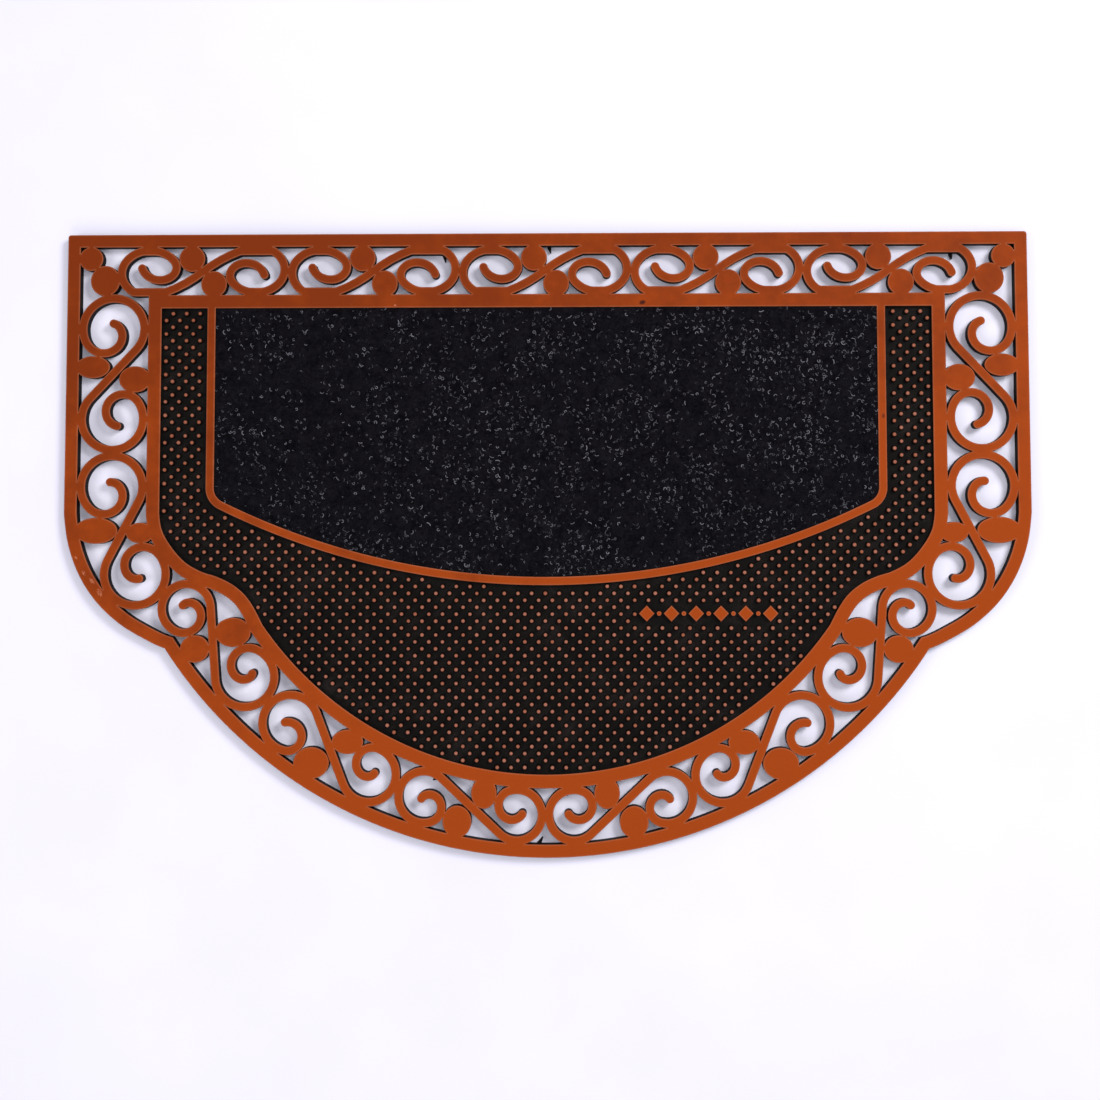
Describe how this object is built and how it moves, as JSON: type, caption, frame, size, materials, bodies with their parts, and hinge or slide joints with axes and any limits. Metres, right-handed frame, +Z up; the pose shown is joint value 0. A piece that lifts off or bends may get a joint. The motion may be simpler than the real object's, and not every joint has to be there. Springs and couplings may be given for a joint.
{
  "type": "doormat",
  "caption": "Flat half-round rubber doormat with an openwork border of S-scrolls and discs, a sunk studded field and a needled carpet panel at its straight edge.",
  "frame": {"origin": "middle of the bounding box at the underside, on the floor", "axes": "+X along the straight edge, +Y from the arc towards the straight edge, +Z up through the thickness"},
  "size_m": [0.7, 0.45, 0.008],
  "materials": {
    "rubber": "matt, painted on the raised tops",
    "carpet": "needled pile"
  },
  "bodies": {
    "root": {"rubber_mat": "rubber", "carpet_insert": "carpet"}
  },
  "joints": []
}
